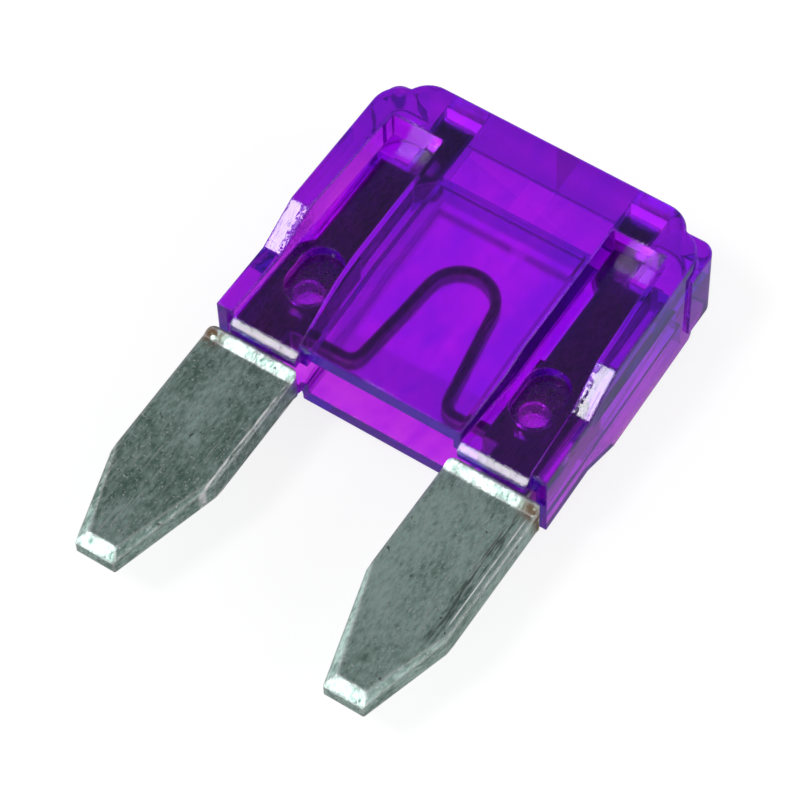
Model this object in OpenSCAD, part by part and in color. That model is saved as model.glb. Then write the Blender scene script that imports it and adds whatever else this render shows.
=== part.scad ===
// Automotive blade fuse, mini size, lying on its back.
// Two pieces: a moulded housing open at the blade end, and one stamped fuse element.
// X runs across the two blades, Y runs from the blade tips to the head, Z is the thickness.
// Each piece is drawn with the housing's blade-end face at y = 0 and the mid thickness at
// z = 0. The finished fuse is then moved so that the origin is the bottom centre of its box.

/* [View] */
// Which sub-part to build

/* [Blades] */
// Distance between the centre lines of the two blades
blade_pitch = 7.72; // [7.4:0.01:8.1]
// Width of one blade
blade_w = 2.9; // [2.7:0.05:3.0]
// Thickness of the stamped strip
blade_t = 0.8; // [0.7:0.05:0.9]
// Bare length from the housing's end face to the blade tip
blade_l = 7.65; // [7:0.05:8.2]
// Bare neck length between the housing's lips and the blade's shoulders
shoulder_gap = 0.06; // [0.03:0.01:0.12]
// Corner radius on the blade's shoulders
shoulder_r = 0.25; // [0.1:0.05:0.35]
// Thickness of the blade at its shoulders, before it is coined down
shoulder_t = 1.04; // [0.94:0.02:1.14]
// Length of the thicker part at the shoulders
shoulder_l = 0.1; // [0.05:0.01:0.16]
// Length of the slope from the shoulders down to the blade's face
shoulder_slope = 0.26; // [0.18:0.02:0.4]
// Length of the inner taper, measured back from the tip
taper_in_l = 3.36; // [2.5:0.02:4]
// Length of the outer taper, measured back from the tip
taper_out_l = 2.72; // [2:0.02:3.6]
// Amount that the inner edge moves in at the tip
taper_in_w = 0.9; // [0.5:0.02:1]
// Amount that the outer edge moves in at the tip
taper_out_w = 0.78; // [0.4:0.02:0.9]
// Width of the coined bevel where a taper begins
coin_w0 = 0.1; // [0.04:0.01:0.16]
// Width of the coined bevel at the tip
coin_w = 0.3; // [0.2:0.01:0.4]
// Depth of the coined bevel at the tip
coin_d = 0.16; // [0.08:0.01:0.24]
// Length of the bevel across the blade tip
tip_l = 0.36; // [0.26:0.02:0.6]
// Depth of the bevel across the blade tip
tip_d = 0.18; // [0.1:0.01:0.26]

/* [Element inside the housing] */
// Distance from the blade's centre line in to the neck's inner edge
neck_in_d = 0.56; // [0.5:0.01:0.65]
// Distance from the blade's centre line out to the neck's outer edge
neck_out_d = 0.94; // [0.85:0.01:0.98]
// Distance from the blade's centre line in to the pad's inner edge
pad_in_d = 1.01; // [0.95:0.01:1.05]
// Height at which the pad begins above the end face
pad_y0 = 0.62; // [0.5:0.02:0.75]
// Height at which the pad ends above the end face
pad_y1 = 3.5; // [3.3:0.05:3.8]
// Distance from the blade's centre line in to the wide tab's inner edge
tab_in_d = 0.88; // [0.8:0.01:0.94]
// Distance from the blade's centre line out to the wide tab's outer edge
tab_out_d = 0.52; // [0.4:0.01:0.6]
// Distance from the pocket's head wall down to the wide tab's end
tab_set = 0.66; // [0.5:0.02:0.9]
// Distance from the blade's centre line in to the test point's inner edge
probe_in_d = 1.36; // [1.3:0.01:1.4]
// Distance from the blade's centre line in to the test point's outer edge
probe_out_d = 0.36; // [0.3:0.01:0.5]
// Depth of the test point's end below the head's top
probe_set = 0.25; // [0.1:0.01:0.4]
// Length of the wide tab beside the lean in to the test point
probe_lean_l = 0.5; // [0.48:0.02:0.7]
// Distance from the blade's centre line in to the middle of the staking hole
stake_in_d = 0.24; // [0.18:0.01:0.3]
// Height of the staking hole's centre above the end face
stake_y = 1.95; // [1.85:0.05:2.1]
// Radius of the staking hole in the pad
stake_hole_r = 0.45; // [0.4:0.01:0.48]

/* [Fusible link] */
// Width of the link strip
link_w = 0.3; // [0.25:0.01:0.4]
// Thickness of the link strip
link_t = 0.36; // [0.3:0.02:0.5]
// Radius of the arch, to the middle of the strip
arch_r = 1.0; // [0.9:0.02:1.1]
// Height of the arch's centre above the end face
arch_y = 3.96; // [3.8:0.02:4.1]
// Lean of each leg away from the centre plane, in degrees
leg_lean = 8; // [6:0.5:10]
// Radius of the bend from the leg into its foot
foot_r = 0.42; // [0.35:0.01:0.5]
// Height of the foot's middle above the end face
foot_y = 1.02; // [0.95:0.01:1.1]

/* [Housing] */
// Set-in of the housing's side from the blade's outer edge, at the blade end
side_set_end = 0.06; // [0.03:0.01:0.12]
// Set-in of the housing's side from the blade's outer edge, at the head
side_set_head = 0.17; // [0.1:0.01:0.22]
// Length from the blade end to the top of the head
body_l = 8.85; // [8.7:0.01:9]
// Thickness of the head and the upper rims
body_t = 3.86; // [3.7:0.02:4]
// Thickness of the lower rims
rim_low_t = 2.5; // [2.4:0.02:2.6]
// Height at which the rims' ramps begin
ramp_y0 = 2.15; // [2:0.05:2.3]
// Height at which the rims' ramps reach full thickness
ramp_y1 = 3.56; // [3.4:0.02:3.8]
// Slope of the middle's sides, across the face
mid_draft = 0.05; // [0.02:0.01:0.1]
// Thickness of the middle's nose at the blade end
nose_t = 2.72; // [2.6:0.02:2.84]
// Height at which the middle reaches full thickness
nose_ramp_y = 2.9; // [2.6:0.05:3.2]
// Distance from the blade's centre line in to the nose's side
nose_in_d = 1.28; // [1.2:0.01:1.34]
// Height at which the nose reaches full width
nose_side_y = 2.5; // [2.2:0.05:2.9]

/* [Pockets over the blades] */
// Distance from the blade's centre line in to the pocket's inner foot
pocket_in_d = 1.08; // [1.04:0.01:1.14]
// Distance from the blade's centre line out to the pocket's outer wall at the head
pocket_head_d = 0.54; // [0.45:0.01:0.6]
// Distance from the blade's centre line out to the pocket's outer wall at the blade end
pocket_end_d = 0.86; // [0.75:0.01:0.9]
// Length of the solid head above the pockets
head_l = 1.49; // [1.4:0.01:1.6]
// Thickness left between the front and back pocket floors
pocket_t = 1.96; // [1.9:0.02:2.02]
// Length of the sloped lips past the end face, over and under each blade
lip_l = 0.2; // [0.12:0.01:0.28]
// Length of the slope on each lip
lip_run = 0.28; // [0.2:0.01:0.32]
// Drop of the slope on each lip
lip_drop = 0.14; // [0.08:0.01:0.2]

/* [Head] */
// Drop of the shoulders beside the head's crown
crown_drop = 0.47; // [0.35:0.01:0.55]
// Width of each shoulder beside the crown
crown_shoulder_w = 0.64; // [0.55:0.01:0.75]
// Corner radius of the shoulders
head_r = 0.9; // [0.6:0.05:0.9]
// Corner radius of the crown
crown_r = 0.85; // [0.5:0.05:0.95]
// Thickness of the ribs at the two ends of the head
rib_t = 2.6; // [2.4:0.05:2.8]
// Drop of the ribs' top below the crown
rib_drop = 0.13; // [0.05:0.01:0.25]
// Amount that the ribs stand proud of the head's sides
rib_proud = 0.1; // [0.04:0.01:0.14]
// Corner radius of the ribs
rib_r = 0.45; // [0.3:0.05:0.6]

/* [Cavity] */
// Clearance over each face of the strip in its slot
slot_face_gap = 0.08; // [0.04:0.01:0.1]
// Clearance beside the outer edge of each neck in the slot
slot_side_gap = 0.12; // [0.06:0.01:0.14]
// Clearance past the end of each wide tab in the slot
slot_end_gap = 0.12; // [0.06:0.01:0.2]
// Distance from the blade's centre line in to the wall of the room around the link
room_side_d = 1.52; // [1.45:0.01:1.6]
// Thickness of the room around the link
room_t = 1.7; // [1.6:0.02:1.76]
// Distance from the slot's end back to the room's end
room_set = 0.22; // [0.1:0.01:0.3]
// Clearance beside each edge of a test point in its window
window_side_gap = 0.1; // [0.06:0.01:0.14]
// Clearance over each face of a test point in its window
window_face_gap = 0.1; // [0.06:0.01:0.14]
// Radius of the staking dimple in a pocket floor
dimple_r = 0.66; // [0.6:0.01:0.7]
// Length of the staking dimple between the centres of its round ends
dimple_l = 0.65; // [0.5:0.05:0.75]
// Wall left between the staking dimple's floor and the slot
dimple_wall = 0.14; // [0.1:0.01:0.2]
// Clearance between the staked boss and its hole
stake_gap = 0.02; // [0.01:0.01:0.03]
// Length of the staked boss below the dimple's floor
boss_l = 0.4; // [0.35:0.01:0.45]

/* [Hidden] */
$fn = 64;
eps = 0.01;
// Overshoot of each cut past the face that it opens
over = 1;
place = [0, (blade_l - body_l) / 2, body_t / 2];
pocket_top = body_l - head_l;
crown_shoulder_y = body_l - crown_drop;
rib_y = body_l - rib_drop;
tab_top = pocket_top - tab_set;
probe_top = body_l - probe_set;
probe_y0 = tab_top - probe_lean_l;
blade_x = blade_pitch / 2;
blade_in = blade_x - blade_w / 2;
blade_out = blade_x + blade_w / 2;
tip_in = blade_in + taper_in_w;
tip_out = blade_out - taper_out_w;
neck_in = blade_x - neck_in_d;
neck_out = blade_x + neck_out_d;
pad_in = blade_x - pad_in_d;
tab_in = blade_x - tab_in_d;
tab_out = blade_x + tab_out_d;
probe_in = blade_x - probe_in_d;
probe_out = blade_x - probe_out_d;
stake_x = blade_x - stake_in_d;
shoulder_y = lip_l + shoulder_gap;
slope_y0 = shoulder_y + shoulder_l;
slope_y1 = slope_y0 + shoulder_slope;
leg_top = [arch_r * cos(leg_lean), arch_y + arch_r * sin(leg_lean)];
leg_l = (leg_top[1] - foot_y - foot_r + foot_r * sin(leg_lean)) / cos(leg_lean);
leg_low = [leg_top[0] + leg_l * sin(leg_lean), leg_top[1] - leg_l * cos(leg_lean)];
bend = [leg_low[0] + foot_r * cos(leg_lean), leg_low[1] + foot_r * sin(leg_lean)];
// Directions from the bend and the arch to the middle of the strip, foot end first
bend_dirs = [for (a = steps(270, 180 + leg_lean, 8)) [cos(a), sin(a)]];
arch_dirs = [for (a = steps(leg_lean, 90, 12)) [cos(a), sin(a)]];
// Middle of the right half of the link, and the sideways direction at each of its points
half_path = concat(
    [[pad_in + link_w, foot_y]],
    [for (d = bend_dirs) bend + foot_r * d],
    [for (d = arch_dirs) [0, arch_y] + arch_r * d]
);
half_side = concat([[0, 1]], -1 * bend_dirs, arch_dirs);
link_path = concat(half_path, mirrored(half_path));
link_side = concat(half_side, mirrored(half_side));
body_w_end = 2 * (blade_out - side_set_end);
body_w_head = 2 * (blade_out - side_set_head);
crown_w = body_w_head - 2 * crown_shoulder_w;
pocket_in = blade_x - pocket_in_d;
pocket_out_head = blade_x + pocket_head_d;
pocket_out_end = blade_x + pocket_end_d;
crest_in = pocket_in - mid_draft;
slot_t = blade_t + 2 * slot_face_gap;
slot_w = 2 * (neck_out + slot_side_gap);
slot_l = tab_top + slot_end_gap;
room_w = 2 * (blade_x - room_side_d);
room_l = slot_l - room_set;
window_in = probe_in - window_side_gap;
window_out = probe_out + window_side_gap;
window_t = blade_t + 2 * window_face_gap;
nose_in = blade_x - nose_in_d;
boss_r = stake_hole_r - stake_gap;
dimple_floor = slot_t / 2 + dimple_wall;
boss_end = dimple_floor - boss_l;

// Angles from one value to another in equal steps
function steps(from, to, count) = [for (i = [0 : count]) from + (to - from) * i / count];

// The points in reverse order on the other side of the centre plane, without the last one
function mirrored(points) = [for (i = [len(points) - 2 : -1 : 0]) [-points[i][0], points[i][1]]];

// A flat plate of the given outline, centred on the mid thickness
module plate(outline, t) {
    translate([0, 0, -t / 2])
        linear_extrude(height = t)
            polygon(outline);
}

// The same shape on both sides of the centre plane
module both_sides() {
    children();
    mirror([1, 0, 0]) children();
}

// The same shape on the front and the back
module both_faces() {
    children();
    mirror([0, 0, 1]) children();
}

// A side profile given as points (y, z), drawn along X between two positions
module side_profile(outline, x0, x1) {
    translate([x0, 0, 0])
        rotate([90, 0, 90])
            linear_extrude(height = x1 - x0)
                polygon(outline);
}

// An end profile given as points (x, z), drawn along Y between two heights
module end_profile(outline, y0, y1) {
    translate([0, y1, 0])
        rotate([90, 0, 0])
            linear_extrude(height = y1 - y0)
                polygon(outline);
}

// A block with its two upper corners rounded, seen from the front
module crowned_block(w, y0, y1, r, t) {
    translate([-w / 2, y0, -t / 2]) cube([w, y1 - r - y0, t]);
    translate([-w / 2 + r, y0, -t / 2]) cube([w - 2 * r, y1 - y0, t]);
    intersection() {
        both_sides()
            translate([w / 2 - r, y1 - r, -t / 2])
                cylinder(r = r, h = t);
        translate([-w / 2, y0, -t]) cube([w, y1 - y0, 2 * t]);
    }
}

// Bevel cut along one tapered edge of the given length and inward move, wider at the tip
module coin_cut(x, taper_l, taper_w, side) {
    translate([x + side * coin_w0, -blade_l + taper_l, blade_t / 2])
        rotate([0, 0, side * atan2(taper_w + coin_w - coin_w0, taper_l)])
            rotate([90, 0, 0])
                translate([0, 0, -coin_w])
                    linear_extrude(height = blade_l)
                        polygon([
                            [0, 0],
                            [-side * coin_w, -coin_d],
                            [-side * over, -coin_d],
                            [-side * over, eps],
                            [0, eps]
                        ]);
}

// Plan shape of the right blade, with its shoulders and tapered tip, at a given thickness
module blade_plate(t) {
    plate([
        [blade_in, -shoulder_y - shoulder_r],
        [blade_in, -blade_l + taper_in_l],
        [tip_in, -blade_l],
        [tip_out, -blade_l],
        [blade_out, -blade_l + taper_out_l],
        [blade_out, -shoulder_y - shoulder_r]
    ], t);
    translate([blade_in + shoulder_r, -shoulder_y - 2 * shoulder_r, -t / 2])
        cube([blade_w - 2 * shoulder_r, 2 * shoulder_r, t]);
    for (x = [blade_in + shoulder_r, blade_out - shoulder_r])
        translate([x, -shoulder_y - shoulder_r, -t / 2])
            cylinder(r = shoulder_r, h = t);
}

// Bare part of the right blade: thick at the shoulders, bevelled along the tapers and the tip
module bare_blade() {
    difference() {
        union() {
            blade_plate(blade_t);
            intersection() {
                blade_plate(shoulder_t);
                side_profile([
                    [-slope_y1, -blade_t / 2],
                    [-slope_y0, -shoulder_t / 2],
                    [0, -shoulder_t / 2],
                    [0, shoulder_t / 2],
                    [-slope_y0, shoulder_t / 2],
                    [-slope_y1, blade_t / 2]
                ], 0, body_w_end);
            }
        }
        both_faces() {
            coin_cut(blade_in, taper_in_l, taper_in_w, 1);
            coin_cut(blade_out, taper_out_l, taper_out_w, -1);
            side_profile([
                [-blade_l + tip_l, blade_t / 2],
                [-blade_l, blade_t / 2 - tip_d],
                [-blade_l - over, blade_t / 2 - tip_d],
                [-blade_l - over, blade_t / 2 + eps],
                [-blade_l + tip_l, blade_t / 2 + eps]
            ], 0, body_w_end);
        }
    }
}

// Neck, pad with its staking hole, wide tab and test point of the right blade
module inner_strip() {
    difference() {
        plate([
            [neck_in, -shoulder_y - shoulder_r],
            [neck_in, pad_y0],
            [pad_in, pad_y0],
            [pad_in, pad_y1],
            [tab_in, pad_y1],
            [tab_in, probe_y0],
            [probe_in, probe_y0 + tab_in - probe_in],
            [probe_in, probe_top],
            [probe_out, probe_top],
            [probe_out, tab_top],
            [tab_out, tab_top],
            [tab_out, pad_y1],
            [neck_out, pad_y1 - (neck_out - tab_out)],
            [neck_out, -shoulder_y - shoulder_r]
        ], blade_t);
        translate([stake_x, stake_y, -blade_t])
            cylinder(r = stake_hole_r, h = 2 * blade_t);
    }
}

// The curved link between the two pads, the same width all along its path
module link() {
    plate(concat(
        [for (i = [0 : len(link_path) - 1]) link_path[i] + link_side[i] * link_w / 2],
        [for (i = [len(link_path) - 1 : -1 : 0]) link_path[i] - link_side[i] * link_w / 2]
    ), link_t);
}

// The stamped strip: two blades, necks, pads, test points and the link in one piece
module fuse_element() {
    color("silver")
        translate(place) {
            both_sides() {
                bare_blade();
                inner_strip();
            }
            link();
        }
}

// Head with its crown, shoulders and end ribs
module head() {
    crowned_block(body_w_head, pocket_top, crown_shoulder_y, head_r, body_t);
    crowned_block(crown_w, pocket_top, body_l, crown_r, body_t);
    crowned_block(body_w_head + 2 * rib_proud, pocket_top, rib_y, rib_r, rib_t);
}

// Right rim: thin at the blade end, ramped to full thickness on both faces
module rim() {
    intersection() {
        plate([
            [pocket_out_end, 0],
            [body_w_end / 2, 0],
            [body_w_head / 2, pocket_top],
            [body_w_head / 2, pocket_top + eps],
            [pocket_out_head, pocket_top + eps],
            [pocket_out_head, pocket_top]
        ], body_t);
        side_profile([
            [0, -rim_low_t / 2],
            [ramp_y0, -rim_low_t / 2],
            [ramp_y1, -body_t / 2],
            [body_l, -body_t / 2],
            [body_l, body_t / 2],
            [ramp_y1, body_t / 2],
            [ramp_y0, rim_low_t / 2],
            [0, rim_low_t / 2]
        ], pocket_in, body_w_end);
    }
}

// Web behind the pocket floors, across the whole housing
module floor_web() {
    plate([
        [-body_w_end / 2, 0],
        [body_w_end / 2, 0],
        [body_w_head / 2, pocket_top],
        [body_w_head / 2, pocket_top + eps],
        [-body_w_head / 2, pocket_top + eps],
        [-body_w_head / 2, pocket_top]
    ], pocket_t);
}

// Raised middle over the room for the link: flush with the head, and narrowed and
// thinned to a nose at the blade end
module middle() {
    intersection() {
        plate([
            [-nose_in, 0],
            [nose_in, 0],
            [pocket_in, nose_side_y],
            [pocket_in, pocket_top + eps],
            [-pocket_in, pocket_top + eps],
            [-pocket_in, nose_side_y]
        ], body_t);
        side_profile([
            [0, -nose_t / 2],
            [nose_ramp_y, -body_t / 2],
            [body_l, -body_t / 2],
            [body_l, body_t / 2],
            [nose_ramp_y, body_t / 2],
            [0, nose_t / 2]
        ], -body_w_end, body_w_end);
        end_profile([
            [-pocket_in, -pocket_t / 2],
            [-crest_in, -body_t / 2],
            [crest_in, -body_t / 2],
            [pocket_in, -pocket_t / 2],
            [pocket_in, pocket_t / 2],
            [crest_in, body_t / 2],
            [-crest_in, body_t / 2],
            [-pocket_in, pocket_t / 2]
        ], 0, body_l);
    }
}

// Sloped lips past the end face, over and under the right blade's neck
module lips() {
    side_profile([
        [eps, -pocket_t / 2],
        [lip_run - lip_l, -pocket_t / 2],
        [-lip_l, -pocket_t / 2 + lip_drop],
        [-lip_l, pocket_t / 2 - lip_drop],
        [lip_run - lip_l, pocket_t / 2],
        [eps, pocket_t / 2]
    ], nose_in, pocket_out_end);
}

// Slot for the strip, room for the link and the windows of the two test points
module cavity() {
    translate([-slot_w / 2, -over, -slot_t / 2]) cube([slot_w, slot_l + over, slot_t]);
    translate([-room_w / 2, -over, -room_t / 2]) cube([room_w, room_l + over, room_t]);
    both_sides()
        translate([window_in, slot_l - eps, -window_t / 2])
            cube([window_out - window_in, body_l - slot_l + over, window_t]);
}

// Long staking dimple in the front floor over the right pad, with round ends
module dimple() {
    translate([stake_x, stake_y, dimple_floor]) {
        cylinder(r = dimple_r, h = body_t);
        translate([0, dimple_l, 0]) cylinder(r = dimple_r, h = body_t);
        translate([-dimple_r, 0, 0]) cube([2 * dimple_r, dimple_l, body_t]);
    }
}

// Moulded housing, staked into the pads from both faces
module housing() {
    color("blueviolet", 0.6)
        translate(place) {
            difference() {
                union() {
                    head();
                    both_sides() rim();
                    floor_web();
                    middle();
                    both_sides() lips();
                }
                cavity();
                both_sides()
                    both_faces()
                        dimple();
            }
            both_sides()
                both_faces()
                    translate([stake_x, stake_y, boss_end])
                        cylinder(r = boss_r, h = boss_l);
        }
}

housing();
fuse_element();
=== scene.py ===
"""Looks for the automotive blade fuse: clear violet moulded housing and stamped zinc strip."""

import math
from typing import NamedTuple

import bpy
from mathutils import Matrix, Vector


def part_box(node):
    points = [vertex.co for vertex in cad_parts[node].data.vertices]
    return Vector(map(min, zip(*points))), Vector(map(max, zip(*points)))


MM = 0.001


class Grain(NamedTuple):
    """A noise: grain in mm along X, Y and Z, and the levels where its mark starts and is full."""

    size: tuple
    detail: float
    roughness: float
    twist: float
    starts: float = 0.0
    full: float = 1.0


# Photograph's camera, in the row frame
CAMERA_AT = Vector((31.304, -43.517, 88.996)) * MM
CAMERA_FORWARD = Vector((-0.30456, 0.42665, -0.85160))
CAMERA_UP = Vector((-0.45788, 0.71841, 0.52367))
FRAME_PX = 800
FOCAL_PX = 3809.2
SENSOR_MM = 36.0
CLIP_NEAR = 0.001
CLIP_FAR = 20

# Round table: flat part, then a rising rim
FLOOR_FLAT_R = 0.6
FLOOR_RISE_R = 0.5
FLOOR_RISE_DEG = 35
FLOOR_RISE_RINGS = 12
FLOOR_TURNS = 96

# Table's grey, its glow to the camera and through the plastic, and the share that reflections get
FLOOR_GREY = (0.36, 0.36, 0.36, 1)
FLOOR_GLOW = 0.80
GLOSS_SHARE = 0.22

# Grey room: brightness level with the table and overhead, and the heights between which it changes
ROOM_COLOUR = (1.0, 1.0, 1.02, 1)
ROOM_WALL = 0.46
ROOM_TOP = 0.20
ROOM_WALL_Z = 0.25
ROOM_TOP_Z = 0.8

# Lamps: direction from the fuse, distance, width, height and brightness
LAMPS = {
    "ramp_panel": ((-0.305, -0.41, 0.862), 0.5, 0.10, 0.10, 16.0),
    "right_panel": ((0.86, 0.10, 0.50), 0.6, 0.45, 0.40, 1.3),
    "left_panel": ((-0.88, -0.2, 0.42), 0.6, 0.45, 0.35, 1.0),
    "front_panel": ((0.15, -0.90, 0.40), 0.6, 0.5, 0.30, 1.0),
    "head_panel": ((0.1, 0.95, 0.35), 0.6, 0.5, 0.30, 0.8),
}

# Light paths through the clear housing: in at the front, through the slot and out at the back
CLEAR_BOUNCES = 18
ALL_BOUNCES = 20

# Joining of flat faces, and the angle from which two faces meet in a sharp edge
WELD_REACH = 0.0005 * MM
FLAT_DEG = 0.4
SHARP_DEG = 14

# Housing edges rounded in the mesh: width, least distance from the middle plane, and least angle
HOUSING_ROUND = 0.045 * MM
ROUND_FROM = 1.0 * MM
ROUND_DEG = 20
ROUND_STEPS = 2

# Edges softened in the shading, and the rays that each takes
HOUSING_EDGE = 0.08 * MM
STRIP_EDGE = 0.14 * MM
EDGE_SAMPLES = 2

# Violet plastic: surface colours, then its depth
VIOLET_DEEP = (0.58, 0.055, 0.95)
VIOLET_PALE = (0.80, 0.125, 0.98)
# painted shade: deeper violet laid on the sides and the head
VIOLET_END = (0.34, 0.02, 0.78)
VIOLET_END_SHARE = 0.8
VIOLET_INSIDE = (0.815, 0.006, 0.928, 1)
VIOLET_DENSITY = 1250.0
PLASTIC_IOR = 1.52

# Streaks of the plastic: shares of their two noises, and the levels of the deepest and the palest
FLOW_SHARE = 0.65
MOULD_CLOUDS_SHARE = 0.35
STREAK_SPAN = (0.36, 0.64)

# Roughness of polished and of crazed plastic, the crazing between the two, and what the room adds
POLISHED_ROUGH = 0.035
CRAZED_ROUGH = 0.30
CRAZED_SPAN = (0.2, 0.9)
INSIDE_ROUGH = 0.13

# Relief of the plastic: share and depth, and how far each mark rises or sinks
PLASTIC_RELIEF = 0.6
PLASTIC_RELIEF_DEPTH = 0.02 * MM
FLOW_RISE = 0.55
CRAZING_RISE = 0.5
FINE_SCRATCH_DROP = 0.10

# Zinc strip colours
ZINC_DARK = (0.13, 0.22, 0.185)
ZINC_LIGHT = (0.72, 0.96, 0.88)
ZINC_SCRATCH = (0.80, 0.86, 0.84)
ZINC_SPECK = (0.86, 0.92, 0.89)
ZINC_PIT = (0.07, 0.085, 0.08)
# painted highlight: the white of the lines by the blades' edges and of the edges themselves
ZINC_RUBBED = (1.0, 1.0, 1.0)
# painted shade: the dark of the strip at and under the housing
ZINC_COVERED = (0.14, 0.11, 0.13)
STAIN_BROWN = (0.22, 0.11, 0.045)

# Zinc tone: shares of its two noises, and the levels of the darkest and the lightest
CLOUDS_SHARE = 0.5
FINE_SHARE = 0.5
TONE_SPAN = (0.31, 0.71)

# Painted light and shade: how much lighter the right blade is, and how much darker the left
FRESH_LIFT = 0.07
DULLED_DROP = 0.03

# How far each mark of the zinc covers what is under it
SCRATCH_COVER = 1.0
SPECK_COVER = 0.8
PIT_COVER = 0.8
SCORE_COVER = 0.7
RUB_COVER = 1.0
STAIN_COVER = 0.9
HOUSED_COVER = 0.68

# Zinc roughness from dark to light tone, and what the marks change in it
ROUGH_TONES = (0.34, 0.64)
DARK_ROUGH = 0.46
LIGHT_ROUGH = 0.30
SCRATCH_SMOOTHS = 0.10
STAIN_ROUGHENS = 0.35
RUB_ROUGHENS = 0.30

# Painted highlights along the edges: cosines of the softened normal's turn where they are full and
# where they start
BURNISH_TURN = (0.95, 0.995)
BURNISH_SHARE = 0.75

# How metallic the zinc is; then its relief: share and depth, and how far each mark rises or sinks
ZINC_METALLIC = 0.92
ZINC_RELIEF = 0.55
ZINC_RELIEF_DEPTH = 0.012 * MM
FINE_RISE = 0.35
PIT_DROP = 0.6
SCRATCH_DROP = 0.4

# Noises of the zinc
ZINC_CLOUDS = Grain((0.9, 1.9, 0.9), 5.0, 0.60, 0.3)
ZINC_FINE = Grain((0.11, 0.26, 0.11), 3.0, 0.62, 0.0)
LONG_SCRATCHES = Grain((0.05, 2.2, 0.3), 2.0, 0.5, 0.2, 0.60, 0.72)
SHORT_SCRATCHES = Grain((0.04, 0.5, 0.3), 2.0, 0.5, 0.5, 0.66, 0.76)
SCRATCHED_PATCHES = Grain((1.3, 2.0, 1.3), 2.0, 0.55, 0.0, 0.42, 0.60)
LIGHT_SPECKS = Grain((0.06, 0.09, 0.06), 1.0, 0.55, 0.0, 0.63, 0.71)
DARK_PITS = Grain((0.19, 0.26, 0.19), 2.0, 0.5, 0.4, 0.66, 0.75)
RAGGED_STAIN = Grain((0.25, 0.25, 0.25), 3.0, 0.6, 0.0, 0.30, 0.52)
BROKEN_RUB = Grain((0.2, 0.9, 0.2), 2.0, 0.55, 0.0, 0.34, 0.50)
SCORE_STROKES = Grain((0.05, 0.7, 0.2), 2.0, 0.55, 0.0, 0.46, 0.58)

# Noises of the plastic
MOULD_FLOW = Grain((1.6, 3.4, 3.0), 2.0, 0.55, 0.8)
MOULD_CLOUDS = Grain((0.55, 0.7, 0.55), 2.0, 0.6, 0.4)
CRAZING = Grain((0.11, 0.13, 0.11), 2.0, 0.6, 0.6, 0.47, 0.57)
FINE_SCRATCHES = Grain((0.05, 1.1, 0.5), 2.0, 0.5, 1.2, 0.64, 0.74)

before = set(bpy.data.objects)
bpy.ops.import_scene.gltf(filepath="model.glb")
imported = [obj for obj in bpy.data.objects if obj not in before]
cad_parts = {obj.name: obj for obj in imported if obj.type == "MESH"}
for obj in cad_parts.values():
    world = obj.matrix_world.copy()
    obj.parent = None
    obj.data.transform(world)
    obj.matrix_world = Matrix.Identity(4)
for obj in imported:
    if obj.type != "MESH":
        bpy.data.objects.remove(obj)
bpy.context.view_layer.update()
HOUSING_LOW, HOUSING_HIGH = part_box("housing")
STRIP_LOW, STRIP_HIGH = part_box("fuse_element")
MIDDLE_Z = HOUSING_HIGH.z / 2

# Stains at the blades' outer shoulders: middle, and reach of the full stain and of its end
SHOULDER_Y = HOUSING_LOW.y - 0.21 * MM
STAIN_REACH_X = (0.22 * MM, 0.75 * MM)
STAIN_REACH_Y = (0.20 * MM, 0.60 * MM)

# Painted highlight lines by the right-hand edge of each blade, and the dark scoring beside the
# right one
RUBBED_RIGHT_X = 5.12 * MM
RUBBED_RIGHT_REACH = (0.008 * MM, 0.030 * MM)
RUBBED_LEFT_X = -2.52 * MM
RUBBED_LEFT_REACH = (0.015 * MM, 0.050 * MM)
RUBBED_Y = -3.6 * MM
RUBBED_REACH_Y = (1.9 * MM, 2.5 * MM)
SCORED_X = RUBBED_RIGHT_X - 0.22 * MM
SCORED_REACH = (0.08 * MM, 0.2 * MM)

# Where along Y the strip goes under the housing and its painted shade starts, and where the
# painted light and shade of the blades change
COVERED_SPAN_Y = (HOUSING_LOW.y - 0.25 * MM, HOUSING_LOW.y)
NEAR_TIP_Y = STRIP_LOW.y + 1.25 * MM
FRESH_SPAN_Y = (NEAR_TIP_Y, -2.0 * MM)
DULLED_SPAN_Y = (NEAR_TIP_Y, -1.5 * MM)
TONE_LEAST = 0.35

# Crazing round the staking dimple and along the ramp's inner edge, on the right as on the left
STAKE_X = 3.62 * MM
STAKE_REACH_X = (0.45 * MM, 0.85 * MM)
STAKE_Y = 1.68 * MM
STAKE_REACH_Y = (0.70 * MM, 1.20 * MM)
RAMP_EDGE_X = 4.60 * MM
RAMP_REACH_X = (0.10 * MM, 0.21 * MM)
RAMP_Y = 2.25 * MM
RAMP_REACH_Y = (0.60 * MM, 0.95 * MM)

# Room around the link: half its width, half its thickness with the slot's step, and its end
ROOM_X = 2.38 * MM
ROOM_REACH_Z = (0.90 * MM, 0.918 * MM)
ROOM_END_Y = 6.05 * MM

# Painted shade: deeper violet at the sides and the head, fading towards the blades
SIDE_SPAN_X = (4.0 * MM, 5.0 * MM)
HEAD_SPAN_Y = (7.3 * MM, 8.1 * MM)
DEEPER_SPAN_Y = (4.5 * MM, 7.0 * MM)
DEEPER_LEAST = 0.1


def add_node(tree, kind, **sockets):
    """Adds a node and sets the named input sockets that are given as plain values."""
    node = tree.nodes.new(kind)
    for name, value in sockets.items():
        node.inputs[name.replace("_", " ")].default_value = value
    return node


def join(tree, source, target):
    """Links an output to an input."""
    tree.links.new(source, target)


def maths(tree, operation, first, second=None):
    """One Math node; each side is a socket or a number."""
    node = tree.nodes.new("ShaderNodeMath")
    node.operation = operation
    for slot, value in enumerate((first, second)):
        if isinstance(value, (int, float)):
            node.inputs[slot].default_value = value
        elif value is not None:
            join(tree, value, node.inputs[slot])
    return node.outputs[0]


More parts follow.
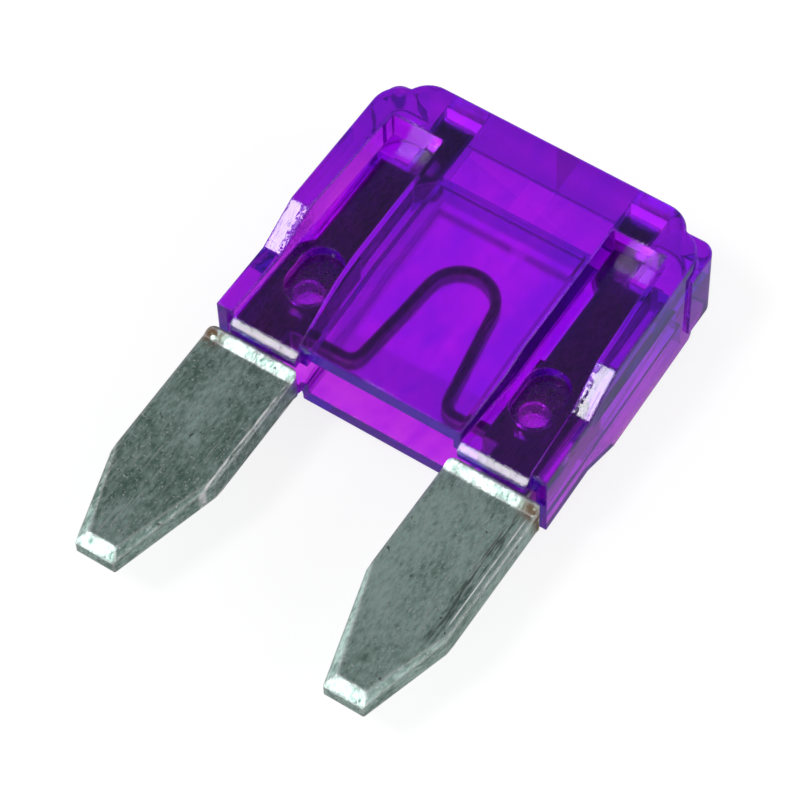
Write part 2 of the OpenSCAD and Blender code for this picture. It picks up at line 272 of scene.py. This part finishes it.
def times(tree, first, *others):
    """Product of sockets and numbers."""
    for other in others:
        first = maths(tree, "MULTIPLY", first, other)
    return first


def plus(tree, first, second):
    return maths(tree, "ADD", first, second)


def minus(tree, first, second):
    return maths(tree, "SUBTRACT", first, second)


def ramp(tree, source, low, high, to_low=0.0, to_high=1.0):
    """Maps low..high of a value to another range, smoothly, and clamps it."""
    node = add_node(
        tree, "ShaderNodeMapRange", From_Min=low, From_Max=high, To_Min=to_low, To_Max=to_high
    )
    node.interpolation_type = "SMOOTHSTEP"
    join(tree, source, node.inputs["Value"])
    return node.outputs["Result"]


def near_line(tree, value, middle, reach):
    """1 where a value is within the first reach of the middle, falling to 0 at the second."""
    away = maths(tree, "ABSOLUTE", minus(tree, value, middle))
    return ramp(tree, away, *reach, 1.0, 0.0)


def blend_colours(tree, share, first, second):
    """Mixes two colours; each is a socket or a plain colour."""
    node = tree.nodes.new("ShaderNodeMix")
    node.data_type = "RGBA"
    join(tree, share, node.inputs["Factor"])
    for name, value in (("A", first), ("B", second)):
        socket = [i for i in node.inputs if i.name == name and i.type == "RGBA"][0]
        if isinstance(value, tuple):
            socket.default_value = (*value, 1)
        else:
            join(tree, value, socket)
    return [o for o in node.outputs if o.type == "RGBA"][0]


def noise(tree, place, grain):
    """The bare noise of a grain."""
    scaled = tree.nodes.new("ShaderNodeMapping")
    scaled.inputs["Scale"].default_value = [1 / (size * MM) for size in grain.size]
    join(tree, place, scaled.inputs["Vector"])
    pattern = add_node(
        tree,
        "ShaderNodeTexNoise",
        Scale=1.0,
        Detail=grain.detail,
        Roughness=grain.roughness,
        Distortion=grain.twist,
    )
    join(tree, scaled.outputs["Vector"], pattern.inputs["Vector"])
    return pattern.outputs["Fac"]


def marks_of(tree, place, grain):
    """1 where the noise of a grain is over its full level, and 0 where it is under its start."""
    return ramp(tree, noise(tree, place, grain), grain.starts, grain.full)


def split(tree, vector):
    """X, Y and Z of a vector."""
    axes = tree.nodes.new("ShaderNodeSeparateXYZ")
    join(tree, vector, axes.inputs[0])
    return axes.outputs


def new_mask_group(name, *masks):
    """Starts a group that takes a place and puts out masks. Returns group, place and end."""
    group = bpy.data.node_groups.new(name, "ShaderNodeTree")
    group.interface.new_socket(name="Place", in_out="INPUT", socket_type="NodeSocketVector")
    for mask in masks:
        group.interface.new_socket(name=mask, in_out="OUTPUT", socket_type="NodeSocketFloat")
    place = group.nodes.new("NodeGroupInput").outputs["Place"]
    return group, place, group.nodes.new("NodeGroupOutput")


def put_out(group, result, **masks):
    """Links each mask to the group's output of that name."""
    for name, value in masks.items():
        join(group, value, result.inputs[name])


def place_group(tree, group, place):
    """Places a mask group in a material."""
    node = tree.nodes.new("ShaderNodeGroup")
    node.node_tree = group
    join(tree, place, node.inputs["Place"])
    return node.outputs


def tumbled_metal_group():
    """Handling marks of stamped zinc: cloudy tone, scratches along the blades, specks and pits."""
    group, place, result = new_mask_group(
        "tumbled_metal", "Tone", "Scratches", "Specks", "Pits", "Height"
    )
    clouds = noise(group, place, ZINC_CLOUDS)
    fine = noise(group, place, ZINC_FINE)
    tone = plus(group, times(group, clouds, CLOUDS_SHARE), times(group, fine, FINE_SHARE))
    long_lines = marks_of(group, place, LONG_SCRATCHES)
    short_lines = marks_of(group, place, SHORT_SCRATCHES)
    lines = maths(group, "MAXIMUM", long_lines, short_lines)
    scratches = times(group, lines, marks_of(group, place, SCRATCHED_PATCHES))
    specks = marks_of(group, place, LIGHT_SPECKS)
    pits = marks_of(group, place, DARK_PITS)
    height = minus(group, times(group, fine, FINE_RISE), times(group, pits, PIT_DROP))
    height = minus(group, height, times(group, scratches, SCRATCH_DROP))
    put_out(group, result, Tone=tone, Scratches=scratches, Specks=specks, Pits=pits, Height=height)
    return group


def strip_zones_group():
    """Where the strip differs: stained and scored, with painted highlight lines, painted shade at
    and under the housing, a right blade painted lighter and a left one painted darker.
    """
    group, place, result = new_mask_group(
        "strip_zones", "Stain", "Rubbed", "Scored", "Covered", "Fresh", "Dulled"
    )
    x, y, _ = split(group, place)
    by_side = near_line(group, maths(group, "ABSOLUTE", x), STRIP_HIGH.x, STAIN_REACH_X)
    by_shoulder = near_line(group, y, SHOULDER_Y, STAIN_REACH_Y)
    stain = times(group, by_side, by_shoulder, marks_of(group, place, RAGGED_STAIN))
    # painted highlight lines by the right-hand edge of each blade
    along = near_line(group, y, RUBBED_Y, RUBBED_REACH_Y)
    right_line = near_line(group, x, RUBBED_RIGHT_X, RUBBED_RIGHT_REACH)
    left_line = near_line(group, x, RUBBED_LEFT_X, RUBBED_LEFT_REACH)
    lines = maths(group, "MAXIMUM", right_line, left_line)
    rubbed = times(group, lines, along, marks_of(group, place, BROKEN_RUB))
    strokes = marks_of(group, place, SCORE_STROKES)
    scored = times(group, near_line(group, x, SCORED_X, SCORED_REACH), strokes, along)
    # painted shade at and under the housing
    covered = ramp(group, y, *COVERED_SPAN_Y)
    right = maths(group, "GREATER_THAN", x, 0.0)
    left = minus(group, 1.0, right)
    # painted light on the right blade, painted shade on the left
    fresh = times(group, right, ramp(group, y, *FRESH_SPAN_Y, TONE_LEAST, 1.0))
    dulled = times(group, left, ramp(group, y, *DULLED_SPAN_Y, 1.0, TONE_LEAST))
    put_out(group, result, Stain=stain, Rubbed=rubbed, Scored=scored)
    put_out(group, result, Covered=covered, Fresh=fresh, Dulled=dulled)
    return group


def moulding_marks_group():
    """Marks of a small clear moulding: flow streaks, scratches, crazing by stakes and ramps; and
    painted shade at the sides and head.
    """
    group, place, result = new_mask_group(
        "moulding_marks", "Streaks", "Crazing", "Inside", "Ends", "Height"
    )
    x, y, z = split(group, place)
    across = maths(group, "ABSOLUTE", x)
    flow = noise(group, place, MOULD_FLOW)
    cloud = noise(group, place, MOULD_CLOUDS)
    streaks = times(group, cloud, MOULD_CLOUDS_SHARE)
    streaks = plus(group, times(group, flow, FLOW_SHARE), streaks)
    by_stake = times(
        group,
        near_line(group, across, STAKE_X, STAKE_REACH_X),
        near_line(group, y, STAKE_Y, STAKE_REACH_Y),
    )
    by_ramp = times(
        group,
        near_line(group, across, RAMP_EDGE_X, RAMP_REACH_X),
        near_line(group, y, RAMP_Y, RAMP_REACH_Y),
    )
    cracked = maths(group, "MAXIMUM", by_stake, by_ramp)
    crazing = times(group, cracked, marks_of(group, place, CRAZING))
    inside = times(
        group,
        maths(group, "LESS_THAN", across, ROOM_X),
        maths(group, "LESS_THAN", y, ROOM_END_Y),
        near_line(group, z, MIDDLE_Z, ROOM_REACH_Z),
    )
    # painted shade: deeper violet at the sides and the head
    ends = maths(
        group, "MAXIMUM", ramp(group, across, *SIDE_SPAN_X), ramp(group, y, *HEAD_SPAN_Y)
    )
    ends = times(group, ends, ramp(group, y, *DEEPER_SPAN_Y, DEEPER_LEAST, 1.0))
    scratches = marks_of(group, place, FINE_SCRATCHES)
    height = plus(group, times(group, flow, FLOW_RISE), times(group, crazing, CRAZING_RISE))
    height = minus(group, height, times(group, scratches, FINE_SCRATCH_DROP))
    put_out(group, result, Streaks=streaks, Crazing=crazing, Inside=inside)
    put_out(group, result, Ends=ends, Height=height)
    return group


def new_material(name):
    """An empty material with its output node."""
    material = bpy.data.materials.new(name)
    material.use_nodes = True
    tree = material.node_tree
    tree.nodes.clear()
    return material, tree, tree.nodes.new("ShaderNodeOutputMaterial")


def softened_edges(tree, radius):
    """Normals that turn gently over each edge."""
    edge = add_node(tree, "ShaderNodeBevel", Radius=radius)
    edge.samples = EDGE_SAMPLES
    return edge.outputs["Normal"]


def relief(tree, normal, height, share, depth):
    """Normals with a fine relief on them."""
    bump = add_node(tree, "ShaderNodeBump", Strength=share, Distance=depth)
    join(tree, normal, bump.inputs["Normal"])
    join(tree, height, bump.inputs["Height"])
    return bump.outputs["Normal"]


def finish_surface(tree, shader, colour, rough, normal, out):
    """Links what varies over a surface to its shader, and the shader to the output."""
    join(tree, colour, shader.inputs["Base Color"])
    join(tree, rough, shader.inputs["Roughness"])
    join(tree, normal, shader.inputs["Normal"])
    join(tree, shader.outputs["BSDF"], out.inputs["Surface"])


def violet_plastic():
    """Clear violet plastic: glossy, streaky from the mould, crazed where it was staked, with
    painted shade deepening its violet at the sides and head.
    """
    material, tree, out = new_material("violet_plastic")
    place = tree.nodes.new("ShaderNodeTexCoord").outputs["Object"]
    marks = place_group(tree, moulding_marks_group(), place)
    streaks = ramp(tree, marks["Streaks"], *STREAK_SPAN)
    tone = blend_colours(tree, streaks, VIOLET_DEEP, VIOLET_PALE)
    # painted shade: deeper violet laid on the sides and the head
    tone = blend_colours(tree, times(tree, marks["Ends"], VIOLET_END_SHARE), tone, VIOLET_END)
    rough = ramp(tree, marks["Crazing"], *CRAZED_SPAN, POLISHED_ROUGH, CRAZED_ROUGH)
    rough = plus(tree, rough, times(tree, marks["Inside"], INSIDE_ROUGH))
    normal = softened_edges(tree, HOUSING_EDGE)
    normal = relief(tree, normal, marks["Height"], PLASTIC_RELIEF, PLASTIC_RELIEF_DEPTH)
    skin = add_node(tree, "ShaderNodeBsdfPrincipled", Transmission_Weight=1.0, IOR=PLASTIC_IOR)
    finish_surface(tree, skin, tone, rough, normal, out)
    tint = add_node(
        tree, "ShaderNodeVolumeAbsorption", Color=VIOLET_INSIDE, Density=VIOLET_DENSITY
    )
    join(tree, tint.outputs["Volume"], out.inputs["Volume"])
    return material


def zinc_strip():
    """Stamped zinc alloy: grey-green and cloudy, scratched along the blades, and stained; with
    painted highlights on its edges, painted shade at and under the housing, and painted light and
    shade on the right and left blades.
    """
    material, tree, out = new_material("zinc_strip")
    place = tree.nodes.new("ShaderNodeTexCoord").outputs["Object"]
    marks = place_group(tree, tumbled_metal_group(), place)
    zones = place_group(tree, strip_zones_group(), place)
    # painted light on the right blade and painted shade on the left
    tone = plus(tree, marks["Tone"], times(tree, zones["Fresh"], FRESH_LIFT))
    tone = minus(tree, tone, times(tree, zones["Dulled"], DULLED_DROP))
    colour = blend_colours(tree, ramp(tree, tone, *TONE_SPAN), ZINC_DARK, ZINC_LIGHT)
    for mask, share, paint in (
        (marks["Scratches"], SCRATCH_COVER, ZINC_SCRATCH),
        (marks["Specks"], SPECK_COVER, ZINC_SPECK),
        (marks["Pits"], PIT_COVER, ZINC_PIT),
        (zones["Scored"], SCORE_COVER, ZINC_PIT),
        # painted highlight lines by the blades' right-hand edges
        (zones["Rubbed"], RUB_COVER, ZINC_RUBBED),
        (zones["Stain"], STAIN_COVER, STAIN_BROWN),
        # painted shade on the strip at and under the housing
        (zones["Covered"], HOUSED_COVER, ZINC_COVERED),
    ):
        colour = blend_colours(tree, times(tree, mask, share), colour, paint)
    rough = ramp(tree, marks["Tone"], *ROUGH_TONES, DARK_ROUGH, LIGHT_ROUGH)
    rough = minus(tree, rough, times(tree, marks["Scratches"], SCRATCH_SMOOTHS))
    rough = plus(tree, rough, times(tree, zones["Stain"], STAIN_ROUGHENS))
    rough = plus(tree, rough, times(tree, zones["Rubbed"], RUB_ROUGHENS))
    edges = softened_edges(tree, STRIP_EDGE)
    turned = tree.nodes.new("ShaderNodeVectorMath")
    turned.operation = "DOT_PRODUCT"
    join(tree, edges, turned.inputs[0])
    join(tree, tree.nodes.new("ShaderNodeNewGeometry").outputs["Normal"], turned.inputs[1])
    # painted highlight: white laid where the softened normal turns over an edge
    burnished = ramp(tree, turned.outputs["Value"], *BURNISH_TURN, BURNISH_SHARE, 0.0)
    colour = blend_colours(tree, burnished, colour, ZINC_RUBBED)
    normal = relief(tree, edges, marks["Height"], ZINC_RELIEF, ZINC_RELIEF_DEPTH)
    metal = add_node(tree, "ShaderNodeBsdfPrincipled", Metallic=ZINC_METALLIC)
    finish_surface(tree, metal, colour, rough, normal, out)
    return material


def dress(node, material):
    """Gives a CAD node its finish."""
    node.data.materials.clear()
    node.data.materials.append(material)


def edge_shading_group(name):
    """Geometry group: smooth faces, sharp edges by angle, and a mark on the edges to round."""
    group = bpy.data.node_groups.new(name, "GeometryNodeTree")
    for side in ("INPUT", "OUTPUT"):
        group.interface.new_socket(
            name="Geometry", in_out=side, socket_type="NodeSocketGeometry"
        )
    given, result = group.nodes.new("NodeGroupInput"), group.nodes.new("NodeGroupOutput")
    angle = group.nodes.new("GeometryNodeInputMeshEdgeAngle").outputs["Unsigned Angle"]
    smooth = group.nodes.new("GeometryNodeSetShadeSmooth")
    sharp = add_node(group, "GeometryNodeSetShadeSmooth", Shade_Smooth=False)
    sharp.domain = "EDGE"
    wide = maths(group, "GREATER_THAN", angle, math.radians(SHARP_DEG))
    join(group, wide, sharp.inputs["Selection"])
    height = split(group, group.nodes.new("GeometryNodeInputPosition").outputs[0])["Z"]
    away = maths(group, "ABSOLUTE", minus(group, height, MIDDLE_Z))
    outer = times(
        group,
        maths(group, "GREATER_THAN", away, ROUND_FROM),
        maths(group, "GREATER_THAN", angle, math.radians(ROUND_DEG)),
    )
    weight = group.nodes.new("GeometryNodeStoreNamedAttribute")
    weight.data_type, weight.domain = "FLOAT", "EDGE"
    weight.inputs["Name"].default_value = "bevel_weight_edge"
    join(group, outer, weight.inputs["Value"])
    join(group, given.outputs[0], smooth.inputs["Geometry"])
    join(group, smooth.outputs[0], sharp.inputs["Geometry"])
    join(group, sharp.outputs[0], weight.inputs["Geometry"])
    join(group, weight.outputs[0], result.inputs[0])
    return group


def crisp_faces(node):
    """Joins the flat faces, so that they stay flat, and shades the round ones smooth."""
    node.modifiers.new("weld", "WELD").merge_threshold = WELD_REACH
    flat = node.modifiers.new("flat_faces", "DECIMATE")
    flat.decimate_type = "DISSOLVE"
    flat.angle_limit = math.radians(FLAT_DEG)
    shading = node.modifiers.new("shade_by_angle", "NODES")
    shading.node_group = edge_shading_group(node.name + "_shading")


def round_outer_edges(node, width):
    """Rounds the edges that the shading group marked."""
    edge = node.modifiers.new("rounded_edges", "BEVEL")
    edge.width = width
    edge.segments = ROUND_STEPS
    edge.limit_method = "WEIGHT"
    edge.use_clamp_overlap = False


def table_material():
    """Plain white table: it takes the fuse's shadow and looks white from all sides."""
    material, tree, out = new_material("white_table")
    path = tree.nodes.new("ShaderNodeLightPath").outputs
    in_gloss = times(tree, path["Is Glossy Ray"], GLOSS_SHARE)
    seen = maths(tree, "MAXIMUM", path["Is Camera Ray"], in_gloss)
    seen = maths(tree, "MAXIMUM", seen, path["Is Transmission Ray"])
    glow = add_node(tree, "ShaderNodeEmission", Color=(1, 1, 1, 1))
    join(tree, times(tree, seen, FLOOR_GLOW), glow.inputs["Strength"])
    matt = add_node(tree, "ShaderNodeBsdfDiffuse", Color=FLOOR_GREY)
    both = tree.nodes.new("ShaderNodeAddShader")
    join(tree, matt.outputs[0], both.inputs[0])
    join(tree, glow.outputs[0], both.inputs[1])
    join(tree, both.outputs[0], out.inputs["Surface"])
    return material


def lay_table():
    """A round table whose rim rises, so that its white is behind the fuse in low views."""
    profile = [(FLOOR_FLAT_R, 0.0)]
    for step in range(1, FLOOR_RISE_RINGS + 1):
        turn = math.radians(FLOOR_RISE_DEG * step / FLOOR_RISE_RINGS)
        out, up = math.sin(turn), 1 - math.cos(turn)
        profile.append((FLOOR_FLAT_R + FLOOR_RISE_R * out, FLOOR_RISE_R * up))
    bearings = [2 * math.pi * k / FLOOR_TURNS for k in range(FLOOR_TURNS)]
    points = [(0.0, 0.0, 0.0)]
    for r, z in profile:
        points += [(r * math.cos(b), r * math.sin(b), z) for b in bearings]
    faces = []
    for k in range(FLOOR_TURNS):
        after = (k + 1) % FLOOR_TURNS
        faces.append((0, 1 + k, 1 + after))
        for ring in range(len(profile) - 1):
            low = 1 + ring * FLOOR_TURNS
            high = low + FLOOR_TURNS
            faces.append((low + k, high + k, high + after, low + after))
    mesh = bpy.data.meshes.new("table")
    mesh.from_pydata(points, [], faces)
    for face in mesh.polygons:
        face.use_smooth = True
    table = bpy.data.objects.new("table", mesh)
    bpy.context.scene.collection.objects.link(table)
    mesh.materials.append(table_material())


def soft_panel(name, toward, distance, width, height, radiance):
    """A rectangular studio lamp in a direction from the fuse, unseen by the camera."""
    lamp = bpy.data.lights.new(name, "AREA")
    lamp.shape = "RECTANGLE"
    lamp.size, lamp.size_y = width, height
    lamp.energy = radiance * width * height * math.pi
    holder = bpy.data.objects.new(name, lamp)
    bpy.context.scene.collection.objects.link(holder)
    direction = Vector(toward).normalized()
    holder.location = direction * distance
    holder.rotation_euler = direction.to_track_quat("Z", "Y").to_euler()
    holder.visible_camera = False


def grey_room():
    """The world: a plain grey that is darker overhead."""
    room = bpy.data.worlds.new("grey_room")
    bpy.context.scene.world = room
    room.use_nodes = True
    tree = room.node_tree
    tree.nodes.clear()
    out = tree.nodes.new("ShaderNodeOutputWorld")
    grey = add_node(tree, "ShaderNodeBackground", Color=ROOM_COLOUR)
    height = split(tree, tree.nodes.new("ShaderNodeTexCoord").outputs["Generated"])["Z"]
    level = ramp(tree, height, ROOM_WALL_Z, ROOM_TOP_Z, ROOM_WALL, ROOM_TOP)
    join(tree, level, grey.inputs["Strength"])
    join(tree, grey.outputs[0], out.inputs["Surface"])


def aim_camera():
    """The photograph's own viewpoint, found from the fuse's straight edges."""
    lens = bpy.data.cameras.new("photo_camera")
    lens.sensor_width = SENSOR_MM
    lens.lens = SENSOR_MM * FOCAL_PX / FRAME_PX
    lens.clip_start = CLIP_NEAR
    lens.clip_end = CLIP_FAR
    camera = bpy.data.objects.new("photo_camera", lens)
    bpy.context.scene.collection.objects.link(camera)
    back = -CAMERA_FORWARD.normalized()
    right = CAMERA_UP.cross(back).normalized()
    turn = Matrix((right, back.cross(right), back)).transposed().to_4x4()
    camera.matrix_world = Matrix.Translation(CAMERA_AT) @ turn
    bpy.context.scene.camera = camera


def main():
    """Sets the stage, then dresses the two pieces."""
    aim_camera()
    lay_table()
    for name, lamp in LAMPS.items():
        soft_panel(name, *lamp)
    grey_room()
    housing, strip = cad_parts["housing"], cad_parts["fuse_element"]
    crisp_faces(housing)
    crisp_faces(strip)
    round_outer_edges(housing, HOUSING_ROUND)
    dress(housing, violet_plastic())
    dress(strip, zinc_strip())
    scene = bpy.context.scene
    scene.view_settings.view_transform = "Standard"
    scene.cycles.max_bounces = ALL_BOUNCES
    scene.cycles.transmission_bounces = CLEAR_BOUNCES
    scene.cycles.glossy_bounces = CLEAR_BOUNCES


main()
